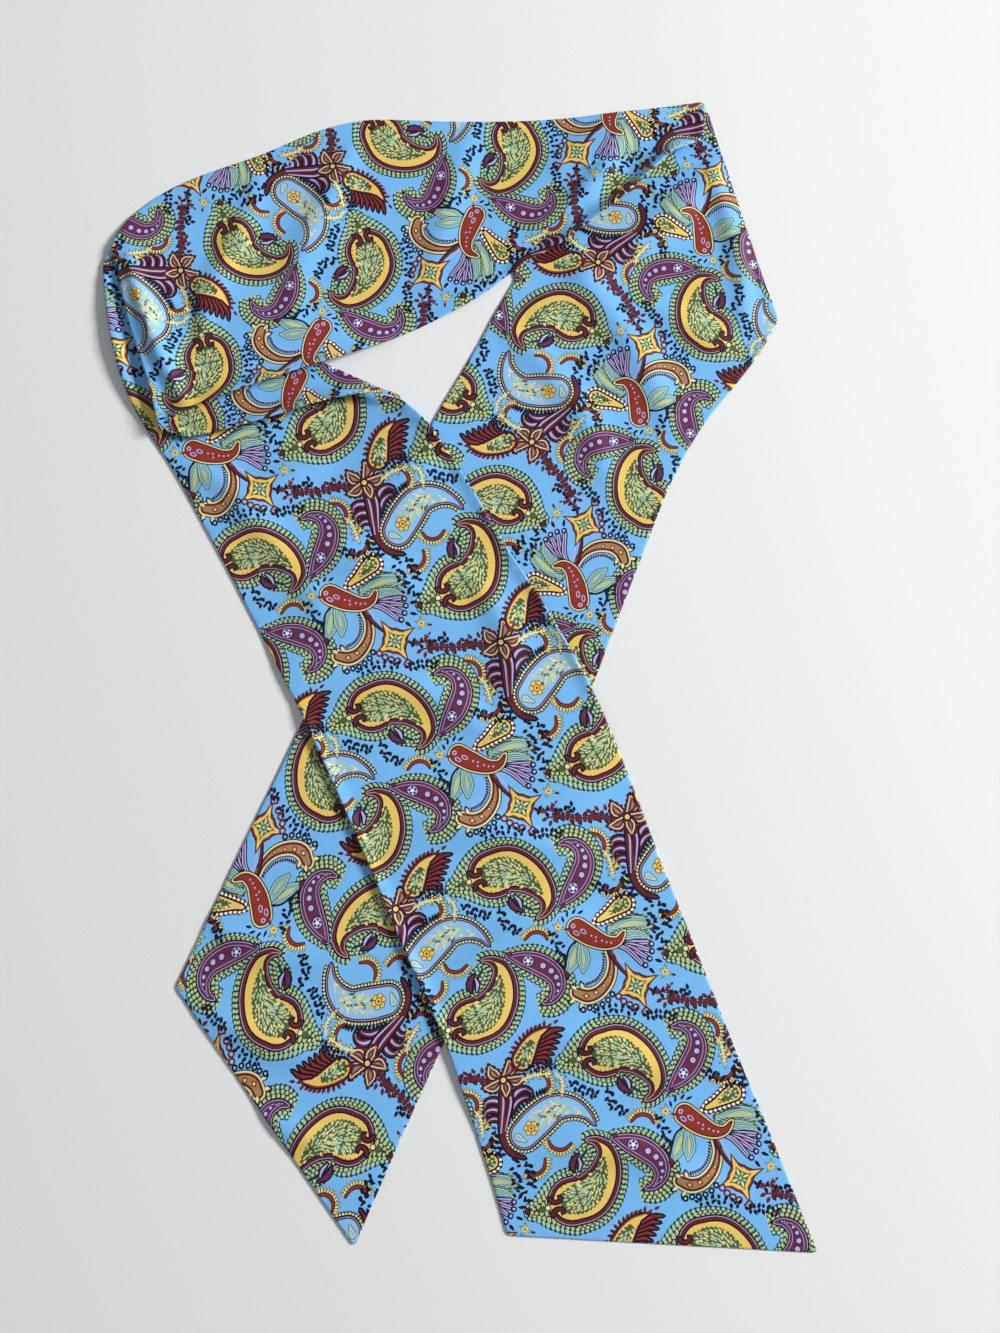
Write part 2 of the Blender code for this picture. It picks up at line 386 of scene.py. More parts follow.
def foliage(rows, colours, spacing=2.3, length=3.1, width=1.5, base="moss"):
    """A body full of small leaves that fan out from its spine, on a dark base."""
    if base:
        paint(scalloped(blob(rows, -0.3, 4, 8), 2.4, 0.9), base)
    line = spline(rows, 5)
    run = directions(line)
    for index in stations(line, spacing):
        way = math.atan2(run[index, 1], run[index, 0])
        half = max(line[index, 2] - 0.9, 0.0)
        count = int(half / spacing * 1.15)
        for place in range(-count, count + 1):
            off = (place + 0.5 * (index % 2)) * spacing / 1.15
            x = line[index, 0] - math.sin(way) * off + CHANCE.uniform(-0.3, 0.3)
            y = line[index, 1] + math.cos(way) * off + CHANCE.uniform(-0.3, 0.3)
            turn = way + math.pi - 0.85 * off / max(half, 1.0) + CHANCE.uniform(-0.35, 0.35)
            size = CHANCE.uniform(0.8, 1.15)
            colour = colours[CHANCE.integers(len(colours))]
            leaf(x, y, turn, length * size, width * size, colour)


def twig(rows, colour, length, width, gap, lean=1.1):
    """A stem with leaves down both its sides and one at its tip."""
    stroke(rows, colour)
    line = spline(rows, 6)
    run = directions(line)
    for count, index in enumerate(stations(line, gap)[1:], 1):
        side = 1 if count % 2 else -1
        way = math.atan2(run[index, 1], run[index, 0])
        x, y = line[index, :2]
        leaf(x, y, way + side * lean, length * (1.12 if count % 3 else 0.85), width, colour)
        leaf(x, y, way - side * lean * 0.8, length * 0.65, width * 0.85, colour)
    leaf(*line[-1, :2], math.atan2(run[-1, 1], run[-1, 0]), length, width, colour)


# The print's motifs, for one repeat. Their rows are x, y and half width down a spine.


BIG_PAISLEY = (
    (13, 4, 12.6),
    (23, 4.5, 12),
    (31.5, 11, 9.6),
    (36.5, 19.5, 6.8),
    (37.5, 27.5, 4.2),
    (34, 33, 1.9),
    (29, 35, 0.4),
)
BIG_LACE = (  # x, y, the paisley's half width and the lace's
    (-9, 3.6, 0.1, 5.6),
    (-1, 3.5, 1.2, 12.6),
    (6, 3.7, 7.5, 16.8),
    (13, 4, 13, 18.8),
    (23, 4.5, 12.4, 17.4),
    (31.5, 11, 10, 14.6),
    (36.5, 19.5, 7.2, 11.4),
    (37.5, 27.5, 4.6, 8.6),
    (33, 33.5, 2, 5.8),
    (26.5, 35.5, 0.3, 3.6),
)
BIG_RIM = (
    (1.2, "navy"),
    (0.75, "lilac"),
    (0.4, "maroon"),
    (-1.9, "navy"),
    (-2.3, "yellow"),
)
BIG_FILIGREE = (
    (11.4, 4.1, 6.6),
    (15.6, 4.5, 8.2),
    (22.2, 5.8, 7.6),
    (29, 11, 5.2),
    (33.2, 17.8, 2.8),
    (35.2, 23.6, 0.8),
)
CRESCENT = (
    (43, 32.5, 0.6),
    (50, 28.5, 3.8),
    (58, 23, 5.4),
    (64.5, 15, 4.9),
    (64.5, 7, 3.3),
    (59.5, 2, 1.6),
    (54.5, 1.2, 0.3),
)
CRESCENT_LACE = (
    (44.5, 32.5, 1, 4.2),
    (51, 28.5, 4, 8.2),
    (58, 23, 5.8, 10.2),
    (64.5, 15, 5.3, 10),
    (65, 6.5, 3.7, 9.6),
    (59.5, 1, 1.8, 8.6),
    (51.5, 1, 0.3, 6),
)


def big_paisley():
    """The large yellow paisley with its lace, its hooks and ball, and the slivers in its crook."""
    lace(BIG_LACE, ("aqua", "sage", "sage"), 2.8)
    nested(BIG_PAISLEY, BIG_RIM, steps=5, cap=12)
    foliage(BIG_FILIGREE, ("straw", "sage", "straw", "sage", "aqua"), 1.75, 2.6, 1.15, "olive")
    ring(-4.2, 3.6, 2.2, "olive", 7)
    neck = [(-1, 2.5), (2.6, 2.2), (6.4, 2.8), (6.4, 4.4), (2.6, 5), (-1, 4.7)]
    paint(neck, "yellow")
    for side in (-1, 1):
        hook = [
            (1, 3.6 + side * 4.6, 0.9),
            (2.6, 3.6 + side * 2.4, 0.85),
            (5.4, 3.6 + side * 2, 0.75),
            (7, 3.6 + side * 3.4, 0.6),
            (6.2, 3.6 + side * 4.9, 0.4),
        ]
        nested(hook, ((0.4, "navy"), (0, "maroon")))
    discs(-0.9, 3.6, (1.9, "navy", 9), (1.35, "straw", 8))
    dots = ((9.5, -5.6), (12, -6.3), (14.5, -6.5), (17, -6.4), (9, 12.8), (11.5, 13.9), (14, 14.4))
    for x, y in dots:
        ring(x, y, 0.45, "brick", 6)
    lace([(18.5, 20.5, 0.3, 3.4), (22.5, 25.5, 0.5, 5), (28, 30.5, 0.3, 3.4)], ("sage", "aqua"), 2.5)
    nested([(17.5, 20, 0.3), (18, 24.6, 1.4), (22, 29, 0.3)], ((0.5, "navy"), (0, "plum")))
    nested([(20.6, 19.6, 0.3), (22.2, 23, 0.8), (22, 26.8, 0.3)], ((0.45, "navy"), (0, "lilac")))


def crescent():
    """The plum crescent beside the paisley's tail, with its rosette and chain."""
    lace(CRESCENT_LACE, ("aqua", "sage", "sage"), 2.8, 4, 6)
    rim = ((1, "navy"), (0.6, "lilac"), (0.25, "plum"), (-1.2, "lilac"), (-1.5, "plum"))
    nested(CRESCENT, rim)
    for radius, colour in ((3.6, "navy"), (3, "lilac")):
        ring(53.2, 26.4, radius, colour, 12, 0.9, -0.6)
    for step in range(5):
        angle = step * 2 * math.pi / 5
        leaf(53.2 + 0.9 * math.cos(angle), 26.4 + 0.8 * math.sin(angle), angle, 1.9, 1.3, "navy")
    ring(53.2, 26.4, 1.1, "bead", 7)
    line = spline(CRESCENT, 4)
    for index in range(9, 23, 2):
        x, y, half = line[index]
        size = 0.3 * half if half > 2 else 0.5
        discs(x + 0.4, y, (size + 0.5, "navy", 8), (size, "lilac", 7))
    discs(44.6, 33.4, (1.5, "navy", 8), (1, "plum", 7))


def comma():
    """The brick comma at the middle of the spray, with the tuft over its head."""
    body = ((48, 47.5, 4.8), (54, 54.3, 4.5), (61, 59.8, 3), (67.5, 60.8, 1.6), (72.2, 57.4, 0.4))
    layers = ((1.3, "navy"), (1.2, "straw"), (0.5, "maroon"), (-0.3, "brick"))
    nested(body, layers, cap=9)
    discs(46.2, 45.6, (1.4, "lilac", 8), (0.7, "brick", 6))
    for x, y in ((46.6, 49.8), (50.6, 50.2)):
        ring(x, y, 2.1, "lilac", 9, 0.6, 0.9)
        ring(x, y, 1.4, "brick", 8, 0.5, 0.9)
    dots = ((54.2, 53.8), (56.4, 55.4), (55.6, 57.4), (59, 58.2), (61.2, 59.8), (63.6, 60.8))
    for x, y in dots:
        ring(x, y, 0.6, "lilac", 6)
    for angle in (-2.5, -2.05, -1.55, -1.1):
        x, y = 47.5 + 7.0 * math.cos(angle), 46.5 + 7.0 * math.sin(angle)
        leaf(x, y, angle + 0.9, 4.2, 1.5, "navy")


def drop():
    """The beaded yellow drop at the comma's right."""
    body = ((77.5, 43, 3.6), (72.5, 44.3, 2.8), (66.5, 46, 1.4), (60.5, 47.2, 0.4))
    for grow, depth, colour in ((2.9, 0.7, "navy"), (2.4, 0.6, "brick")):
        paint(scalloped(blob(body, grow, cap=10), 2.7, depth), colour)
    for x, y in resample(blob(body, 2.05, cap=10), 2.7, 0.5):
        ring(x, y, 1.05, "bead", 4, 1, math.atan2(y - 44, x - 74) + 0.78)
    nested(body, ((1, "navy"), (0.5, "yellow")))
    inner = ((77.3, 43, 2.9), (72.5, 44.3, 2), (68, 45.6, 0.6))
    foliage(inner, ("straw", "aqua", "sage"), 1.6, 2.2, 1.2, "olive")


def star(x, y, outer, inner, turn, colour):
    """A four-pointed flower's outline, with hollow sides."""
    form = []
    for step in range(4):
        for share, reach in ((0, outer), (0.16, inner * 1.22), (0.5, inner), (0.84, inner * 1.22)):
            angle = turn + (step + share) * math.pi / 2
            form.append((reach * math.cos(angle), reach * math.sin(angle)))
    paint(placed(form, x, y, 0), colour)


def lily():
    """The pointed yellow flower on its stem, with loops down its left side."""
    stroke(((60, 60.5, 1), (61.5, 68, 1.3), (64, 75, 1.2), (67, 81, 0.9)), "navy")
    stroke(((60.4, 61, 0.5), (61.9, 68, 0.8), (64.4, 75, 0.7), (67, 81, 0.4)), "maroon")
    stroke(((63.2, 62, 0.4), (65, 69, 0.5), (68, 76, 0.4)), "lilac")
    middle_x, middle_y, turn = 69.5, 87, 1.42
    for extra, colour in ((1.9, "navy"), (1.2, "brick"), (0.2, "yellow")):
        star(middle_x, middle_y, 12.0 + 1.3 * extra, 5.0 + extra, turn, colour)
        ring(middle_x, middle_y, 5.6 + extra, colour, 12)
    star(middle_x, middle_y, 6.8, 3.7, turn, "olive")
    for step in range(8):
        angle = turn + step * math.pi / 4
        x, y = middle_x + 1.3 * math.cos(angle), middle_y + 1.3 * math.sin(angle)
        length, colour = ((4.2, "straw"), (2.4, "aqua"))[step % 2]
        leaf(x, y, angle, length, 1.3, colour)
    ring(middle_x, middle_y, 0.9, "aqua", 6)
    for x, y in ((58.4, 89.6), (60.4, 92.9), (63, 95.6), (66, 97.9)):
        discs(x, y, (2.2, "maroon", 9), (1.1, "pale", 7))
    for radius, colour in ((3.4, "maroon"), (1.8, "pale"), (1, "maroon")):
        ring(71, 101.6, radius, colour, 4, 1, 0.2)
    branch = ((76.5, 90, 0.5), (79.5, 93.4, 0.6), (84, 93.8, 0.5), (88, 92, 0.4))
    twig(branch, "maroon", 2.6, 1.4, 2)


def acanthus():
    """The curled leaf that sweeps down and left from the comma, with a comb inside its curl."""
    body = (
        (36.5, 81, 3), (42, 84.5, 3.5), (49, 84, 3), (56.5, 79, 2.4), (60.5, 71, 1.6), (60, 63, 0.6),
    )
    nested(body, ((1.1, "navy"), (1, "straw"), (0, "maroon"), (-1.3, "tan")))
    for x, y, size in ((57.2, 78.2, 1.5), (52.4, 81.8, 1.8), (47, 84, 2.2), (41.2, 84.2, 2.4)):
        ring(x, y, size * 0.95, "brick", 4, 0.85, 0.5)
        ring(x, y, size * 0.4, "straw", 4)
    for x, y, turn in ((37, 79.4, -2.2), (40.6, 80.2, -1.6), (34.6, 84, 2.8), (38, 87.2, 2.2)):
        leaf(x, y, turn, 5.2, 3.4, "navy")
        leaf(x, y, turn, 3.8, 2, "straw")
    inner = spline(((58.6, 66, 0), (55.6, 73.6, 0), (50, 78.4, 0), (43, 79.6, 0)), 5)
    for index, (x, y, _) in enumerate(inner):
        leaf(x, y, -2.6 + 0.07 * index, 3, 1.1, "navy")
    stroke(((56.4, 66, 0.25), (53.4, 72.6, 0.3), (48.4, 76.4, 0.3), (42, 76.8, 0.2)), "lilac")
    for x, y in ((41, 90.6), (44.6, 91.2), (48.4, 90.8), (52.2, 89.4), (55.4, 87.2), (37.2, 90.6)):
        ring(x, y + 0.3, 1.95, "navy", 7, 1, 0.3)
        ring(x, y + 0.3, 0.85, "pale", 5, 1, 0.3)


def scrolls():
    """The pale leaves and curls round the comma."""
    plume = (
        (0.9, "moss"), (0.4, "aqua"), (-0.6, "moss"), (-0.95, "pale"), (-1.7, "moss"), (-2, "sage"),
    )
    for rows in (
        ((35, 69.6, 0.6), (38.6, 64.8, 3.4), (42.6, 59.4, 3), (45.5, 54.5, 1)),
        ((43.6, 71, 0.5), (45.6, 66, 2.9), (46.9, 60.6, 2.6), (47.5, 56, 1)),
    ):
        nested(rows, plume, cap=5)
    stroke(((47.4, 53.5, 0.5), (41, 56, 0.6), (36.5, 62, 0.6), (33.5, 69, 0.4)), "navy")
    for rows in (
        ((87.5, 59, 0.6), (84, 56.4, 3), (77, 54.4, 3.6), (70.5, 54, 2.6), (64.5, 53.4, 0.8)),
        ((84.5, 65, 0.5), (80.6, 62.4, 2.2), (75.5, 60.2, 2.4), (70.5, 58.2, 1.2), (68, 56.8, 0.6)),
    ):
        for grow, depth, colour in ((1.2, 0.9, "moss"), (0.7, 0.8, "sage")):
            paint(scalloped(blob(rows, grow), 2.8, depth), colour)
        nested(rows, plume, cap=5)
    stroke(((64, 50.2, 0.4), (72, 48.6, 0.5), (80, 49.6, 0.5), (85, 52.6, 0.3)), "moss")
    stroke(((66, 52, 0.3), (73, 50.8, 0.4), (79, 51.4, 0.3)), "moss")
    for step in range(9):
        angle = -0.5 + step * 0.26
        x, y = 76 + 13.5 * math.cos(angle), 57 + 8.6 * math.sin(angle)
        leaf(x, y, angle + 0.3, 3.2, 1.7, "navy")
    for step, (x, y) in enumerate(((83.5, 66.8), (82.5, 70.6), (80, 74), (76.6, 76.6))):
        frond = ((64.6, 62.6, 0.3), (0.45 * x + 36.4, 0.45 * y + 34.0 - 0.6 * step, 1), (x, y, 0.9))
        nested(frond[::-1], ((0.3, "navy"), (0.1, "lilac"), (-0.65, "plum")), cap=5)
        ring(x + 1.4, y + 1.3, 1.9, "navy", 8)
        ring(x + 1.6, y + 1.3, 0.9, "lilac", 6)
    loose = ((88, 66, -0.5), (86.4, 71.6, 0.2), (84, 76.4, 0.6), (79.5, 79.6, 1.1), (62.4, 69.6, 2.4))
    for x, y, turn in loose:
        leaf(x, y, turn, 5, 2, "navy")


def blue_paisley():
    """The pale paisley with a rose in its head."""
    body = (
        (99.4, 33, 7.4), (108.5, 27.6, 7.8), (119.5, 23.2, 6.6),
        (129.5, 25.6, 4.4), (136, 31.5, 1.8), (138.5, 37, 0.4),
    )
    inner = (
        (108.5, 27.6, 5.2), (113.5, 25.2, 5.2), (119.5, 23.6, 4.8), (127.5, 25, 3.2), (133.5, 29.6, 1.2),
    )
    lace([(x, y, half + 0.8, half + 3) for x, y, half in body], ("straw",), 1.9, 4, 9)
    nested(body, ((1.2, "navy"), (0.75, "lilac"), (0.45, "maroon"), (-0.35, "pale")), cap=9)
    foliage(inner, ("straw", "sage", "yellow", "olive", "straw"), 1.8, 3, 1.3, None)
    for step in range(6):
        angle = step * math.pi / 3 + 0.3
        ring(104 + 2.7 * math.cos(angle), 30.6 + 2.7 * math.sin(angle), 1.9, "olive")
        ring(104 + 2.8 * math.cos(angle), 30.6 + 2.8 * math.sin(angle), 1.4, "yellow", 7)
    discs(104, 30.6, (2.2, "brick", 9), (1.7, "yellow", 8), (0.8, "brick", 7))
    nested(((95.6, 33.4, 1.9), (99.5, 37.2, 0.4)), ((0.4, "olive"), (-0.1, "straw"), (-0.7, "pale")))


def spray():
    """The pointed flower, its plumes, and the stem that bends round the pale paisley."""
    stem = (
        (96, 3, 2.4), (95, 10, 3.4), (92.2, 18, 3), (88.8, 26, 1.8),
        (87.6, 34, 1.3), (90.2, 41.5, 0.9), (96.5, 45.8, 0.3),
    )
    for rows in (
        ((94, 15, 1.3), (88.4, 10.2, 1.5), (83.8, 9.8, 1.1), (81.8, 12.6, 0.4)),
        ((92.4, 19, 1.3), (86.6, 14.8, 1.4), (82, 15, 1), (80.6, 18, 0.4)),
        ((90.6, 23, 1.2), (85.4, 19.8, 1.2), (81.4, 20.6, 0.9), (80.6, 23.6, 0.4)),
        ((96.4, 14, 1.3), (101.6, 9, 1.5), (106.6, 8.6, 1), (109.4, 11.2, 0.4)),
        ((95, 19, 1.2), (100.4, 14.2, 1.3), (105.6, 13.2, 0.9), (108.6, 15, 0.4)),
    ):
        nested(rows, ((0.9, "navy"), (0.3, "maroon"), (-0.8, "lilac")), cap=4)
    nested(stem, ((0.8, "navy"), (0.2, "maroon")))
    stroke(((94, 6, 0.3), (92.6, 13, 0.5), (89.8, 21, 0.4), (87, 29, 0.3)), "lilac")
    stroke(((97.4, 6, 0.3), (97, 13, 0.5), (93.6, 20.5, 0.4), (89.6, 28.5, 0.25)), "lilac")
    stroke(((95.7, 5, 0.3), (94.8, 13, 0.4), (91.8, 21, 0.3)), "navy")
    comb = spline(((96.5, 24, 0), (103.5, 19, 0), (112, 15.2, 0), (118, 14.4, 0)), 4)
    for index, (x, y, _) in enumerate(comb):
        leaf(x, y, -2.1 + 0.07 * index, 4.4, 1.9, "navy")
        leaf(x, y, 1.1 + 0.07 * index, 1.8, 1.3, "straw")
    petals = (
        ((94.6, -1.2, 1.4), (91.4, -4.6, 2.9), (90.6, -9.4, 0.5)),
        ((97.4, -1.2, 1.4), (101.4, -4.6, 2.9), (101.8, -9.6, 0.5)),
        ((94, 0.8, 1.4), (89.4, 2.6, 2.6), (84.6, 1.6, 0.5)),
        ((98, 0.8, 1.4), (102.8, 2.8, 2.6), (107.4, 1.2, 0.5)),
        ((96, 1.6, 1.5), (96.2, 5.4, 2.4), (95, 9.6, 0.5)),
    )
    for petal in petals:
        for grow, colour in ((1.3, "navy"), (0.7, "maroon")):
            paint(scalloped(blob(petal, grow, cap=5), 3, 0.7), colour)
        nested(petal, ((0, "straw"), (-0.7, "plum"), (-2.1, "tan")), cap=5)
    discs(96, 0.4, (2.6, "navy", 9), (1.5, "yellow", 7))


def small_paisley():
    """The small yellow paisley over the flower, with feathers at its right."""
    body = ((109.5, -7.4, 4.8), (114, -12.6, 4), (119.5, -17.4, 2.2), (127, -19.8, 0.4))
    for x, y in resample(blob(body, 1.3), 2.3):
        angle = math.atan2(y + 11.5, x - 113)
        if -3.1 < angle < -0.75:
            leaf(x, y, angle, 3.8, 2.1, "maroon")
    nested(body, ((1.6, "navy"), (1.1, "brick"), (0.2, "yellow")), cap=8)
    inner = ((109.5, -7.4, 3.9), (114, -12.6, 3), (118, -16, 1.2))
    foliage(inner, ("straw", "aqua", "sage"), 1.8, 2.6, 1.45, "olive")
    first = np.array(((115.5, -4.6, 0.5), (119.5, -3.6, 0.9), (122.5, -0.4, 0.3)))
    last = np.array(((123.5, -16.4, 0.5), (130, -18.4, 1), (136, -17.4, 0.3)))
    for share in (0, 0.15, 0.31, 0.48, 0.65, 0.82, 1):
        nested(first + (last - first) * share, ((0.5, "navy"), (-0.15, "brick")), cap=3)
    for x, y, turn in ((127.5, -20.4, -0.5), (129, -19, 0.1), (126, -21.4, -1.2), (131.5, -21.8, -0.3)):
        leaf(x, y, turn, 4, 1.8, "maroon")
    stroke(((101, -2.5, 0.6), (105, -4, 0.7), (107.5, -6, 0.5)), "maroon")


def vine():
    """The plum vine from the lily's tip to the flower."""
    rows = (
        (53, -14.2, 0.4), (60, -13, 0.6), (67, -9.4, 0.65), (75, -6.2, 0.7), (82, -5, 0.8), (89, -1.4, 0.8),
    )
    twig(rows, "navy", 4.2, 2.9, 2.5)
    twig(rows, "maroon", 3.3, 1.8, 2.5)
    loose = (
        (82, -7.6, -1.9), (86, -6.4, -1.5), (78, -8, -2.2),
        (57, -15.6, -1.2), (53.5, -14.4, 2.9), (55, -12.4, 2.2),
    )
    for x, y, turn in loose:
        leaf(x, y, turn, 4.2, 2.2, "maroon")


def small_crescent(x, y, turn):
    """A thin little crescent with pale petals round its outer side."""
    rows = ((-6.2, 1.8, 0.3), (-2.8, -1, 0.55), (1, -1.6, 0.65), (4.6, 0, 0.6), (6.4, 3.4, 0.3))
    rows = np.hstack([placed([row[:2] for row in rows], x, y, turn), [row[2:] for row in rows]])
    line = spline(rows, 3)
    run = directions(line)
    for index in range(len(line)):
        way = math.atan2(run[index, 1], run[index, 0])
        leaf(*line[index, :2], way - math.pi / 2, 4.4, 1.9, "olive")
        leaf(*line[index, :2], way - math.pi / 2, 3.8, 1.15, "straw" if index % 3 else "yellow")
    nested(rows, ((0.1, "navy"), (0.1, "brick")), cap=4)


def small_flower(x, y, size):
    """A small yellow flower with four leaves."""
    for angle, length in ((0.6, 5.4), (2.4, 4.8), (-1.3, 5.2), (3.9, 4.4)):
        leaf(x, y, angle, length * size, 2.0 * size, "olive")
        leaf(x, y, angle, (length - 0.8) * size, 1.1 * size, "sage")
    for step in range(5):
        angle = step * 2 * math.pi / 5
        ring(x + 1.3 * size * math.cos(angle), y + 1.3 * size * math.sin(angle), 0.95 * size, "yellow", 6)
    ring(x, y, 0.7 * size, "brick", 6)
    leaf(x + 3.2 * size, y + 2.2 * size, 0.5, 3.4 * size, 1.8 * size, "maroon")


def marks(rows):
    """A column of loose brush marks."""
    length = 3.4
    line = spline(rows, 3)
    run = directions(line)
    for index, (x, y, off) in enumerate(line):
        way = math.atan2(run[index, 1], run[index, 0])
        side = 1 if index % 2 else -1
        leaf(x - off, y, way + side * 1.15, length * 1.1, 2.1, "navy")
        leaf(x + off, y, way - side * 1.9, length * 0.85, 1.9, "navy")
        if index % 3 == 0:
            leaf(x - 2 * off, y, way + side * 2.6, length * 0.9, 1.7, "navy")


# Where the small motifs lie in the repeat: x, y and the way that they point
SMALL_CRESCENTS = (
    (118, 6.2, 1.2), (76.5, 7, 1.3), (76, 33, 2.9), (103, 53.5, 2.6), (24.5, 43.5, 0.2), (117, 44.5, -2.9),
)
SMALL_FLOWERS = ((79.5, 22, 1), (87.5, 84.5, 0.9), (38, 43.5, 0.9))  # x, y and size
OLIVE_TWIGS = (
    ((105, 4, 0.4), (112, 2.6, 0.5), (121, 4, 0.4)),
    ((125, 4.5, 0.4), (127.5, 10, 0.45), (125.5, 16.5, 0.4)),
    ((76, 12.5, 0.4), (78, 17, 0.4), (77, 27, 0.4)),
)
MARK_COLUMNS = (  # x, y and how far the marks stand from the column's middle
    ((33, 46, 0.5), (35.5, 55, 0.6), (33, 64, 0.5)),
    ((91, 45.5, 0.5), (89.4, 57, 0.7), (92, 69, 0.5)),
    ((10, 25.5, 0.4), (11, 33, 0.5), (16, 38.5, 0.4)),
    ((17, -17.5, 0.4), (27, -17, 0.5), (37, -12, 0.4)),
    ((97, 50, 0.4), (98, 55.5, 0.5), (97, 61.5, 0.4)),
    ((66, 29.5, 0.4), (71, 33, 0.5), (78, 39, 0.4)),
    ((78.5, 92.5, 0.4), (90, 98, 0.5), (97, 97, 0.4)),
    ((112, -1, 0.4), (119, -1.5, 0.5), (126, 0.5, 0.4)),
    ((83.5, 28.5, 0.4), (82.5, 34, 0.5), (84, 40.5, 0.4)),
    ((43, -8, 0.4), (50, -7, 0.5), (57, -3.5, 0.4)),
    ((-8, 16, 0.4), (-3, 21, 0.5), (3, 25, 0.4)),
)
TWIN = (103.5, 79.5)  # from the origin to the second paisley and crescent, which are mirrored


def one_repeat():
    """Everything in one repeat of the print. The paisley and its crescent come twice in it."""
    big_paisley()
    crescent()
    for points, colour in list(shapes):
        mirrored = points * (1, -1) + TWIN
        shapes.append((mirrored[::-1], colour))
    vine()
    spray()
    blue_paisley()
    small_paisley()
    scrolls()
    acanthus()
    lily()
    drop()
    comma()
    for x, y, turn in SMALL_CRESCENTS:
        small_crescent(x, y, turn)
    for x, y, size in SMALL_FLOWERS:
        small_flower(x, y, size)
    for rows in OLIVE_TWIGS:
        twig(rows, "olive", 3.4, 1.8, 1.9)
        twig(rows, "straw", 2.5, 1, 1.9)
    for rows in MARK_COLUMNS:
        marks(rows)
    for x, y, turn in ((34.6, 67.5, 1.7), (91, 72.5, 1.5)):
        leaf(x, y, turn, 6, 3.4, "navy")
        leaf(x, y, turn, 4.6, 2, "maroon")


# Cloth shells


def field_axes():
    """The rows and columns of every height map."""
    low, high = cad_box
    x = np.arange(low[0] - FIELD_MARGIN, high[0] + FIELD_MARGIN, FIELD_STEP)
    y = np.arange(low[1] - FIELD_MARGIN, high[1] + FIELD_MARGIN, FIELD_STEP)
    return x, y


FIELD_X, FIELD_Y = field_axes()
GRID_X, GRID_Y = np.meshgrid(FIELD_X, FIELD_Y)

# A stretch's outline, the height of its shell's underside, and the map cells that it covers
Plan = namedtuple("Plan", "loop under reached")


def sample(field, x, y):
    """A height map's value at points, from the four values round each."""
    column = np.clip((x - FIELD_X[0]) / FIELD_STEP, 0, len(FIELD_X) - 1.001)
    row = np.clip((y - FIELD_Y[0]) / FIELD_STEP, 0, len(FIELD_Y) - 1.001)
    left, low = column.astype(int), row.astype(int)
    right_share, high_share = column - left, row - low
    below = field[low, left] * (1 - right_share) + field[low, left + 1] * right_share
    above = field[low + 1, left] * (1 - right_share) + field[low + 1, left + 1] * right_share
    return below * (1 - high_share) + above * high_share


def nearest_cells(places):
    """The rows and columns of the map cells nearest to plan places in millimetres."""
    column = ((places[:, 0] / 1000 - FIELD_X[0]) / FIELD_STEP + 0.5).astype(int)
    row = ((places[:, 1] / 1000 - FIELD_Y[0]) / FIELD_STEP + 0.5).astype(int)
    return np.clip(row, 0, len(FIELD_Y) - 1), np.clip(column, 0, len(FIELD_X) - 1)


def grown(field, cells):
    """A map's marked cells and those within some cells of them."""
    result = field.copy()
    for _ in range(cells):
        wider = result.copy()
        wider[1:] |= result[:-1]
        wider[:-1] |= result[1:]
        wider[:, 1:] |= result[:, :-1]
        wider[:, :-1] |= result[:, 1:]
        result = wider
    return result


def bell(reach):
    """A bell curve's weights at the maps' spacing, which add up to one."""
    count = int(3 * reach / FIELD_STEP) + 1
    weights = np.exp(-0.5 * (np.arange(-count, count + 1) * FIELD_STEP / reach) ** 2)
    return weights / weights.sum()


def blurred(field, reach):
    """A height map smoothed over a reach."""
    for axis in (0, 1):
        field = np.apply_along_axis(np.convolve, axis, field, bell(reach), "same")
    return field


def rounded(rows, reach):
    """Rows round a closed line, spaced as the maps are, smoothed over a reach."""
    weights = bell(reach)
    middle = len(weights) // 2
    return sum(w * np.roll(rows, k - middle, axis=0) for k, w in enumerate(weights))


def solid_of(node):
    """A node's points and triangles."""
    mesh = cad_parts[node].data
    mesh.calc_loop_triangles()
    points = np.empty(len(mesh.vertices) * 3)
    mesh.vertices.foreach_get("co", points)
    triangles = np.empty(len(mesh.loop_triangles) * 3, int)
    mesh.loop_triangles.foreach_get("vertices", triangles)
    return points.reshape(-1, 3), triangles.reshape(-1, 3)


def plan_outline(points, triangles):
    """The solid's outline seen from above, anticlockwise, from the upright faces of its rim."""
    corners = points[triangles][:, :, :2]
    first, second = corners[:, 1] - corners[:, 0], corners[:, 2] - corners[:, 0]
    area = np.abs(first[:, 0] * second[:, 1] - first[:, 1] * second[:, 0])
    neighbours = {}
    for corner in np.round(corners[area < 1e-9], 5):
        for a, b in ((0, 1), (1, 2), (2, 0)):
            one, other = tuple(corner[a]), tuple(corner[b])
            if one != other:
                neighbours.setdefault(one, set()).add(other)
                neighbours.setdefault(other, set()).add(one)
    start = next(iter(neighbours))
    loop = [start]
    before, here = None, start
    while True:
        after = next(point for point in neighbours[here] if point != before)
        if after == start:
            break
        loop.append(after)
        before, here = here, after
    loop = np.array(loop)
    return loop[::-1] if shape_area(loop) < 0 else loop


def even_loop(loop, spacing):
    """An outline's points again, evenly spaced."""
    closed = np.vstack([loop, loop[:1]])
    length = np.concatenate([[0], np.cumsum(np.hypot(*np.diff(closed, axis=0).T))])
    at = np.linspace(0, length[-1], round(length[-1] / spacing), endpoint=False)
    return np.stack([np.interp(at, length, column) for column in closed.T], axis=1)


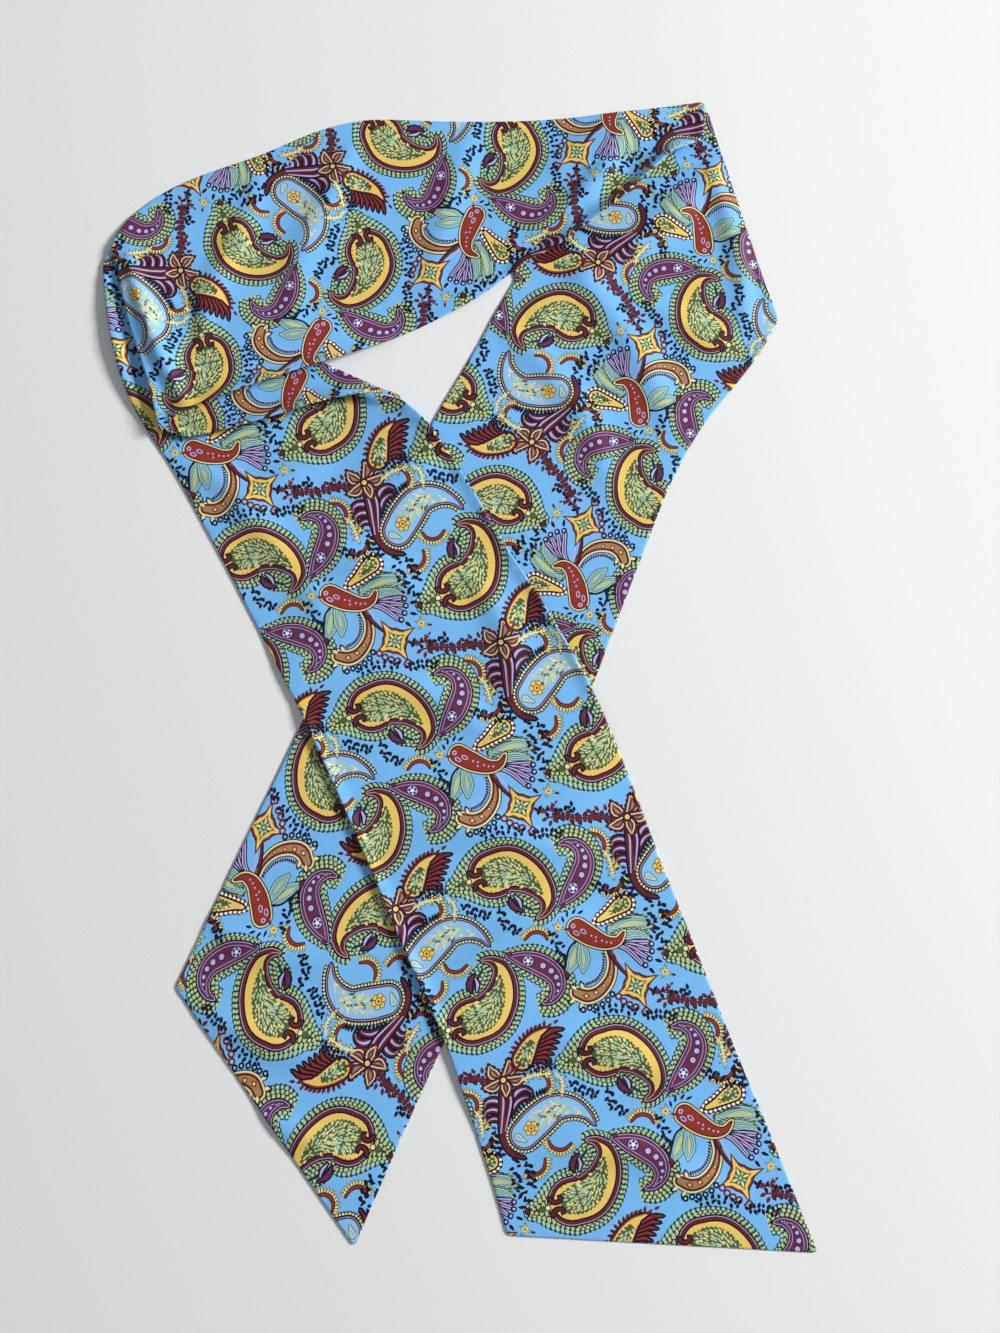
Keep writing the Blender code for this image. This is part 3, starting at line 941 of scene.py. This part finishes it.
def soft_outline(loop):
    """The outline with its straight runs eased and its corners slightly rounded."""
    fine = even_loop(loop, FIELD_STEP)
    span = 8  # points on each side over which a turn is measured
    ahead = np.roll(fine, -span, axis=0) - fine
    behind = fine - np.roll(fine, span, axis=0)
    turn = np.arctan2(
        ahead[:, 0] * behind[:, 1] - ahead[:, 1] * behind[:, 0],
        np.sum(ahead * behind, axis=1),
    )
    corner = np.clip((np.abs(turn) - 0.35) / 0.3, 0, 1)[:, None]
    beside = 22  # points on each side of a corner that go with it
    near = np.max([np.roll(corner, k, axis=0) for k in range(-beside, beside + 1)], axis=0)
    near = rounded(near, 0.008)
    return rounded(fine, 0.010) * (1 - near) + rounded(fine, 0.0016) * near


def inside(loop, x, y):
    """Which points lie inside a closed line."""
    result = np.zeros(x.shape, bool)
    for (ax, ay), (bx, by) in zip(loop, np.roll(loop, -1, axis=0)):
        if ay != by:
            result ^= ((ay > y) != (by > y)) & (x < ax + (y - ay) * (bx - ax) / (by - ay))
    return result


def edge_distance(loop, x, y):
    """How far points lie from a closed line."""
    nearest = np.full(x.shape, np.inf)
    for (ax, ay), (bx, by) in zip(loop, np.roll(loop, -1, axis=0)):
        run_x, run_y = bx - ax, by - ay
        share = ((x - ax) * run_x + (y - ay) * run_y) / (run_x**2 + run_y**2)
        share = np.clip(share, 0, 1)
        gap = np.hypot(x - ax - share * run_x, y - ay - share * run_y)
        nearest = np.minimum(nearest, gap)
    return nearest


def solid_top(points, triangles, where):
    """The height of the solid's upper side, smoothed, over the whole map."""
    tree = BVHTree.FromPolygons(points.tolist(), triangles.tolist())
    height = np.zeros(GRID_X.shape)
    found = np.zeros(GRID_X.shape)
    for row, column in np.argwhere(where):
        above = Vector((FIELD_X[column], FIELD_Y[row], 0.1))
        hit = tree.ray_cast(above, Vector((0, 0, -1)))[0]
        if hit is not None:
            height[row, column] = hit.z
            found[row, column] = 1
    return blurred(height, SOFTNESS) / np.maximum(blurred(found, SOFTNESS), 1e-6)


def crease_height(rows):
    """The height that one crease adds, over the whole map."""
    result = np.zeros(GRID_X.shape)
    for x, y, half_width, height in spline(np.round(np.array(rows) / 1000, 4), 10):
        near = (np.abs(GRID_X - x) < 3 * half_width) & (np.abs(GRID_Y - y) < 3 * half_width)
        fall = np.exp(-((GRID_X[near] - x) ** 2 + (GRID_Y[near] - y) ** 2) / half_width**2)
        further = np.maximum if height > 0 else np.minimum
        result[near] = further(result[near], height * fall)
    return result


def edge_lift(loop, reached):
    """How far the cloth stands up along its edges, over the whole map."""
    near = grown(reached, 3) & grown(~reached, int(3 * EDGE_REACH / FIELD_STEP))
    result = np.zeros(reached.shape)
    gap = edge_distance(loop, GRID_X[near], GRID_Y[near])
    result[near] = EDGE_LIFT * np.exp(-((gap / EDGE_REACH) ** 2))
    return result


def plan_of(stretch, plans):
    """A stretch's plan, on the plans of the stretches below it."""
    points, triangles = solid_of(stretch.node)
    loop = plan_outline(points, triangles)
    if stretch.node == ROLL_NODE:
        corner = np.argmin(np.hypot(*(loop - ROLL_CORNER).T))
        loop = np.insert(loop, corner, ROLL_TIP, axis=0)
    loop = soft_outline(loop)
    reached = inside(loop, GRID_X, GRID_Y)
    under = solid_top(points, triangles, grown(reached, 4)) - WALL
    for rows in stretch.creases:
        under = under + crease_height(rows)
    under = blurred(np.maximum(under, 0), CREASE_BLUR)
    resting = np.zeros(reached.shape)
    for lower in stretch.lies_on:
        cover = grown(plans[lower].reached, 1)
        seat = plans[lower].under + THICKNESS + CLEARANCE
        under = np.where(cover, np.maximum(under, seat), under)
        resting[cover] = 1
    under = under + edge_lift(loop, reached) * blurred(resting, EDGE_REACH)
    return Plan(loop, under, reached)


def hidden_cells(stretch, plans):
    """The map cells well under the stretches that lie on this one."""
    hidden = np.zeros(GRID_X.shape, bool)
    for upper in STRETCHES:
        if stretch.node in upper.lies_on:
            hidden |= plans[upper.node].reached
    return ~grown(~hidden, HIDDEN_MARGIN)


# Print on the cloth


def strip_to_plan(lay, u, v):
    """Plan places of points on the strip, in metres."""
    start, bend = math.radians(lay.runs_deg), math.radians(lay.bend_deg)
    u, v = u * lay.scale, v * lay.scale * (1 + lay.growth * v)
    runs = start + bend * v
    x = lay.x + (np.sin(runs) - math.sin(start)) / bend - np.sin(runs) * u
    y = lay.y - (np.cos(runs) - math.cos(start)) / bend + np.cos(runs) * u
    return x, y


def plan_to_strip(lay, x, y):
    """Places on the strip of plan points, without the cloth's scale, in metres."""
    start, bend = math.radians(lay.runs_deg), math.radians(lay.bend_deg)
    centre_x, centre_y = lay.x - math.sin(start) / bend, lay.y + math.cos(start) / bend
    sign = math.copysign(1, bend)
    across, along = x - centre_x, y - centre_y
    runs = np.arctan2(sign * across, -sign * along)
    u = 1 / bend - sign * np.hypot(across, along)
    turned = (runs - start + math.pi) % (2 * math.pi) - math.pi
    return u, turned / bend


def print_to_plan(lay, points, back):
    """Plan places, in millimetres, of print points. The back's print comes round the edge."""
    c, s = math.cos(PRINT_TURN), math.sin(PRINT_TURN)
    u = (c * points[:, 0] - s * points[:, 1]) / 1000
    v = (s * points[:, 0] + c * points[:, 1]) / 1000
    x, y = strip_to_plan(lay, TUBE_WIDTH - u if back else u, v)
    return np.stack([x, y], axis=1) * 1000


def print_shapes(lay, loop, reached, plain, back):
    """The print's shapes that fall on a stretch, as (plan points in millimetres, colour).

    reached marks the map cells on the stretch, and plain those where only large shapes go.
    """
    low, high = loop.min(axis=0) * 1000 - 1, loop.max(axis=0) * 1000 + 1
    sizes = [len(points) for points, _ in shapes]
    starts = np.concatenate([[0], np.cumsum(sizes)])[:-1]
    everything = np.vstack([points for points, _ in shapes])
    areas = np.array([abs(shape_area(points)) for points, _ in shapes])
    large = areas > (BACK_SHAPE if back else PLAIN_SHAPE)
    kept = []
    for down in range(-REPEATS_DOWN, REPEATS_DOWN + 1):
        for across in range(-REPEATS_ACROSS, REPEATS_ACROSS + 1):
            shift = np.array(REPEAT_ACROSS) * across + np.array(REPEAT_DOWN) * down
            places = print_to_plan(lay, everything + shift, back)
            if np.any(places.max(axis=0) < low) or np.any(places.min(axis=0) > high):
                continue
            on_map = np.all((places > low) & (places < high), axis=1)
            cells = nearest_cells(places)
            touches = np.logical_or.reduceat(on_map & reached[cells], starts)
            exposed = np.logical_or.reduceat(on_map & ~plain[cells], starts)
            for index in np.flatnonzero(touches & (exposed | large)):
                points = places[starts[index] : starts[index] + sizes[index]]
                colour = shapes[index][1]
                if back:
                    points = points[:: 2 if len(points) > BACK_POINTS else 1]
                    colour = BACK_COLOURS.get(colour, colour)
                if shape_area(points) < 0:
                    points = points[::-1]
                kept.append((points, colour))
    return kept


def ply_height(plan, x, y, back):
    """Height of a ply: level, and rounded over to the middle of the cloth at its edge."""
    depth = np.full(x.shape, ROLL)
    near = sample(blurred(plan.reached.astype(float), 0.003), x, y) < 0.98
    depth[near] = np.minimum(edge_distance(plan.loop, x[near], y[near]), ROLL)
    rise = np.sqrt(np.maximum(1 - (1 - depth / ROLL) ** 2, 0))
    half = THICKNESS / 2
    seat = sample(plan.under, x, y)
    return seat + half - half * rise if back else seat + half + half * rise


def ply(stretch, plan, plain, back):
    """A ply's points, its triangles and their colours, cut along the edges of its print."""
    outline = even_loop(plan.loop, EDGE_STEP) * 1000
    outlines = [outline]
    colours = [COLOUR_NAMES.index("ground")]
    reached = grown(plan.reached, 2)
    for points, colour in print_shapes(stretch.lay, plan.loop, reached, plain, back):
        outlines.append(points)
        colours.append(COLOUR_NAMES.index(colour))
    ends = np.cumsum([len(points) for points in outlines])
    faces = [list(range(end - len(points), end)) for points, end in zip(outlines, ends)]
    rings = [outline - outward(outline) * (share * ROLL * 1000) for share in ROLL_RINGS]
    low, high = outline.min(axis=0), outline.max(axis=0)
    step = MESH_STEP * (BACK_COARSER if back else 1)
    x, y = np.meshgrid(np.arange(low[0], high[0], step), np.arange(low[1], high[1], step))
    loose = np.stack([x.ravel(), y.ravel()], axis=1)
    loose = loose[inside(plan.loop, loose[:, 0] / 1000, loose[:, 1] / 1000)]
    flat = [Vector(place) for place in np.vstack(outlines + rings + [loose])]
    cut = delaunay_2d_cdt(flat, [], faces, CUT_INSIDE, CUT_MERGE, True)
    chosen = []
    painted = []
    for triangle, source in zip(cut[2], cut[5]):
        if 0 in source:
            chosen.append(triangle)
            painted.append(colours[max(source)])
    used, triangles = np.unique(np.array(chosen), return_inverse=True)
    triangles = triangles.reshape(-1, 3)
    points = np.array([(place.x, place.y) for place in cut[0]])[used] / 1000
    z = ply_height(plan, points[:, 0], points[:, 1], back)
    if back:
        triangles = triangles[:, ::-1]
    return np.column_stack([points, z]), triangles, np.array(painted)


def pieces_of(stretch, cut, back):
    """A ply as one piece, or as two along its length where its print is too fine for one."""
    points, triangles, painted = cut
    name = stretch.node + ("_back" if back else "_front")
    if len(triangles) < LARGEST_PIECE:
        return [(name, points, triangles, painted)]
    along = plan_to_strip(stretch.lay, points[:, 0], points[:, 1])[1][triangles].mean(axis=1)
    middle = np.median(along)
    pieces = []
    for part, chosen in (("_near", along < middle), ("_far", along >= middle)):
        used, renumbered = np.unique(triangles[chosen], return_inverse=True)
        pieces.append((name + part, points[used], renumbered.reshape(-1, 3), painted[chosen]))
    return pieces


def cloth_object(name, points, triangles, painted, lay):
    """A piece of cloth with the silk of each print colour, and its place on the strip as UV."""
    mesh = bpy.data.meshes.new(name)
    mesh.from_pydata(points.tolist(), [], triangles.tolist())
    mesh.polygons.foreach_set("material_index", painted.astype(np.int32))
    mesh.polygons.foreach_set("use_smooth", np.ones(len(triangles), bool))
    u, v = plan_to_strip(lay, points[:, 0], points[:, 1])
    corners = np.stack([u, v], axis=1)[triangles.ravel()]
    strip = mesh.uv_layers.new(name=STRIP_UV)
    strip.data.foreach_set("uv", corners.astype(np.float32).ravel())
    for colour in COLOUR_NAMES:
        mesh.materials.append(SILKS[colour])
    mesh.validate()
    mesh.update()
    piece = bpy.data.objects.new(name, mesh)
    bpy.context.scene.collection.objects.link(piece)
    return piece


def build_scarf():
    """Both plies of every stretch, once all the stretches are planned from the lowest up."""
    plans = {}
    for stretch in STRETCHES:
        plans[stretch.node] = plan_of(stretch, plans)
    for stretch in STRETCHES:
        hidden = hidden_cells(stretch, plans)
        for back in (False, True):
            cut = ply(stretch, plans[stretch.node], hidden | back, back)
            for name, points, triangles, painted in pieces_of(stretch, cut, back):
                piece = cloth_object(name, points, triangles, painted, stretch.lay)
                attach(piece, "root")
                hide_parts(stretch.node)


# Silk


def linear(display):
    """Display colour values as the light values that a shader takes."""
    share = [value / 255 for value in display]
    return [s / 12.92 if s <= 0.04045 else ((s + 0.055) / 1.055) ** 2.4 for s in share]


def added(nodes, kind, values=()):
    """A new shader node with some of its inputs set."""
    node = nodes.new("ShaderNode" + kind)
    for name, value in dict(values).items():
        node.inputs[name].default_value = value
    return node


def weave_group():
    """Twill lines and slight slubs, as a bump and a roughness."""
    group = bpy.data.node_groups.new("silk_weave", "ShaderNodeTree")
    group.interface.new_socket("Normal", in_out="OUTPUT", socket_type="NodeSocketVector")
    group.interface.new_socket("Roughness", in_out="OUTPUT", socket_type="NodeSocketFloat")
    nodes = group.nodes
    out = nodes.new("NodeGroupOutput")
    strip = added(nodes, "UVMap")
    strip.uv_map = STRIP_UV
    turned = added(nodes, "Mapping", {"Rotation": (0, 0, TWILL_TURN)})
    twill = added(
        nodes, "TexWave", {"Scale": TWILL_SCALE, "Distortion": 0.6, "Detail": 1, "Detail Scale": 2}
    )
    twill.wave_type = "BANDS"
    twill.bands_direction = "X"
    slub = added(nodes, "TexNoise", {"Scale": SLUB_SCALE, "Detail": 3})
    ease = added(nodes, "TexNoise", {"Scale": EASE_SCALE, "Detail": 2})
    mix = added(nodes, "Mix", {"Factor": 0.3})
    mix.data_type = "FLOAT"
    fine = added(nodes, "Bump", {"Strength": 0.35, "Distance": 0.00012})
    broad = added(nodes, "Bump", {"Strength": 0.35, "Distance": 0.0012})
    rough = added(nodes, "MapRange", {"To Min": 0.36, "To Max": 0.52})
    for source, output, target, entry in (
        (strip, "UV", turned, "Vector"),
        (turned, "Vector", twill, "Vector"),
        (strip, "UV", slub, "Vector"),
        (strip, "UV", ease, "Vector"),
        (twill, "Fac", mix, "A"),
        (slub, "Fac", mix, "B"),
        (ease, "Fac", broad, "Height"),
        (broad, "Normal", fine, "Normal"),
        (mix, "Result", fine, "Height"),
        (mix, "Result", rough, "Value"),
        (fine, "Normal", out, "Normal"),
        (rough, "Result", out, "Roughness"),
    ):
        group.links.new(source.outputs[output], target.inputs[entry])
    return group


def plain_material(name, colour, values):
    """A material of one colour, and its shader's other values."""
    material = bpy.data.materials.new(name)
    material.use_nodes = True
    material.diffuse_color = colour
    shader = material.node_tree.nodes["Principled BSDF"]
    shader.inputs["Base Color"].default_value = colour
    for entry, value in values.items():
        shader.inputs[entry].default_value = value
    return material


def printed_silk(name, weave):
    """The silk of one print colour, with the weave's bump and roughness."""
    sheen = {"Sheen Weight": 0.04, "Sheen Roughness": 0.4, "Specular IOR Level": 0.22}
    material = plain_material("silk_" + name, (*linear(PRINT_COLOURS[name]), 1), sheen)
    nodes, links = material.node_tree.nodes, material.node_tree.links
    surface = nodes.new("ShaderNodeGroup")
    surface.node_tree = weave
    for entry in ("Normal", "Roughness"):
        links.new(surface.outputs[entry], nodes["Principled BSDF"].inputs[entry])
    return material


# Studio


def floor():
    """A plain pale table top under the scarf."""
    mesh = bpy.data.meshes.new("table")
    corners = [(x * FLOOR_REACH, y * FLOOR_REACH, 0) for x, y in ((-1, -1), (1, -1), (1, 1), (-1, 1))]
    mesh.from_pydata(corners, [], [(0, 1, 2, 3)])
    mesh.materials.append(plain_material("floor", FLOOR_COLOUR, {"Roughness": 0.8}))
    piece = bpy.data.objects.new("table", mesh)
    piece.location.z = FLOOR_HEIGHT
    bpy.context.scene.collection.objects.link(piece)


def area_light(name, place, size, power):
    """A soft lamp that faces the middle of the scarf."""
    lamp = bpy.data.lights.new(name, "AREA")
    lamp.size = size
    lamp.energy = power
    piece = bpy.data.objects.new(name, lamp)
    piece.location = place
    piece.rotation_euler = (-Vector(place)).to_track_quat("-Z", "Y").to_euler()
    bpy.context.scene.collection.objects.link(piece)


def photo_camera():
    """The photograph's view, from nearly straight above."""
    lens = bpy.data.cameras.new("photo")
    lens.sensor_fit = "VERTICAL"
    lens.sensor_height = SENSOR_HEIGHT
    lens.lens = SENSOR_HEIGHT * FOCAL_PIXELS / PICTURE_PIXELS
    piece = bpy.data.objects.new("photo", lens)
    back = CAMERA_DISTANCE * math.sin(CAMERA_TILT)
    up = CAMERA_DISTANCE * math.cos(CAMERA_TILT)
    piece.location = (CAMERA_AIM[0], CAMERA_AIM[1] - back, up)
    piece.rotation_euler = (CAMERA_TILT, 0, 0)
    bpy.context.scene.collection.objects.link(piece)
    bpy.context.scene.camera = piece


def studio_world():
    """Pale light from all round."""
    world = bpy.data.worlds.new("studio")
    world.use_nodes = True
    light = world.node_tree.nodes["Background"]
    light.inputs["Color"].default_value = (0.93, 0.96, 1.0, 1)
    light.inputs["Strength"].default_value = 0.25
    bpy.context.scene.world = world
    bpy.context.scene.view_settings.view_transform = "Standard"


shapes = []
CHANCE = np.random.default_rng(4)
one_repeat()
WEAVE = weave_group()
SILKS = {name: printed_silk(name, WEAVE) for name in COLOUR_NAMES}
floor()
build_scarf()
photo_camera()
area_light("key", (3.2, 0.9, 1.8), 0.9, 210)
area_light("fill", (-1.0, 0.4, 1.8), 1.6, 3)
studio_world()
